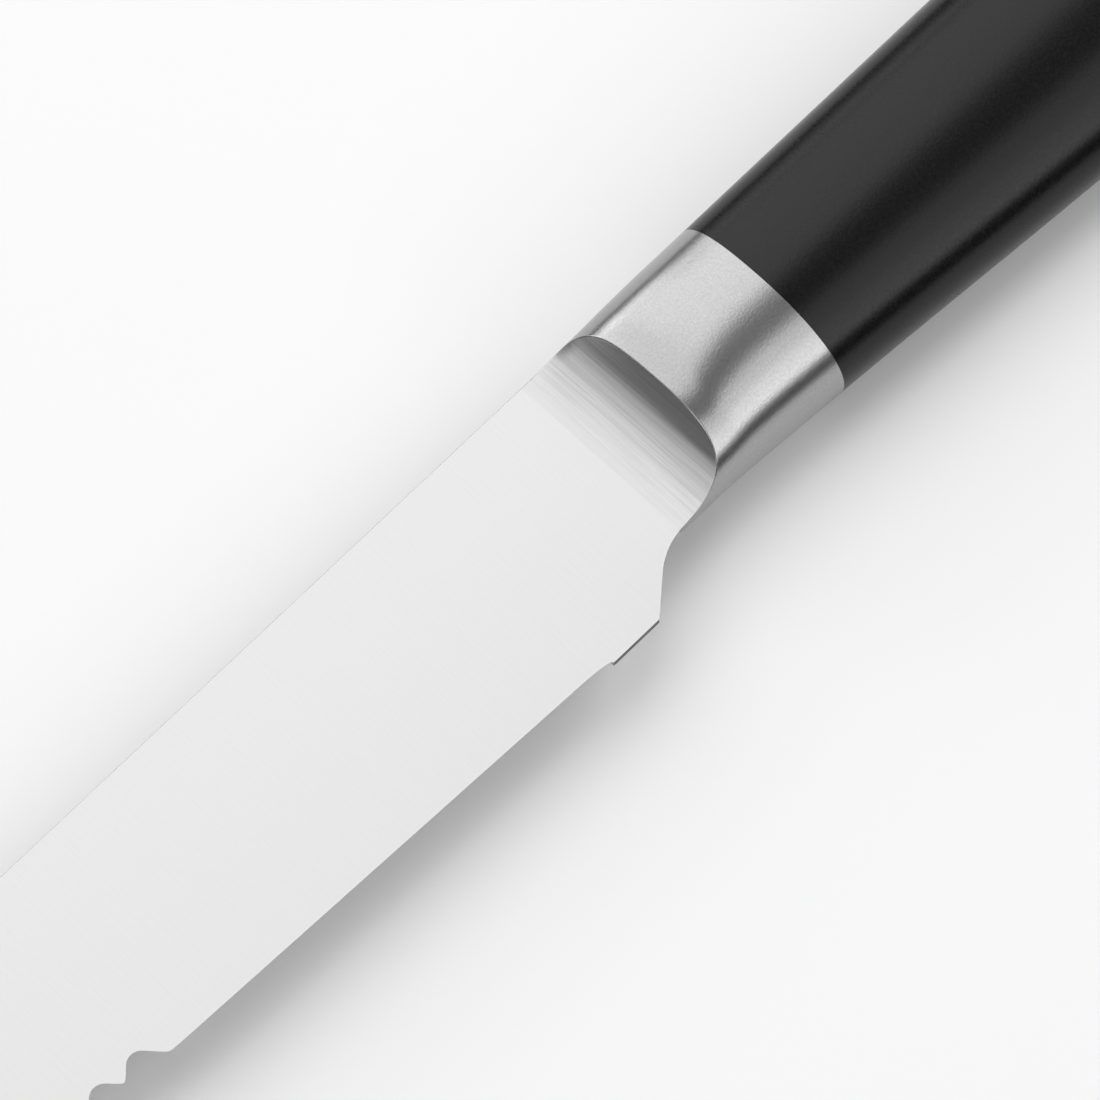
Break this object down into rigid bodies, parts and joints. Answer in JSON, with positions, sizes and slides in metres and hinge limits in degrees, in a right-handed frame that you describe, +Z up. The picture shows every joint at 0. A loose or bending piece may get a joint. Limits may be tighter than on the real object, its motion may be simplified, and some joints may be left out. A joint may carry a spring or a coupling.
{
  "type": "serrated knife",
  "caption": "Kitchen knife with a flat-ground blade, scalloped serration ground from its right face, steel bolster with hollow cheeks and a moulded oval handle.",
  "frame": {"origin": "under the middle of the knife, on the surface that it lies on", "axes": "+X along the knife to the butt, +Y to the spine, +Z up, out of the left face"},
  "size_m": [0.347, 0.0276, 0.0176],
  "materials": {
    "blade_steel": "satin, fine lines ground across the blade",
    "bolster_steel": "fine satin, brushed across the hollow cheeks",
    "tang_steel": "mill finish",
    "bedding_resin": "cast",
    "grip_plastic": "satin moulded"
  },
  "bodies": {
    "root": {"blade": "blade_steel", "bolster": "bolster_steel", "tang": "tang_steel", "tang_bed": "bedding_resin", "handle": "grip_plastic"}
  },
  "joints": []
}
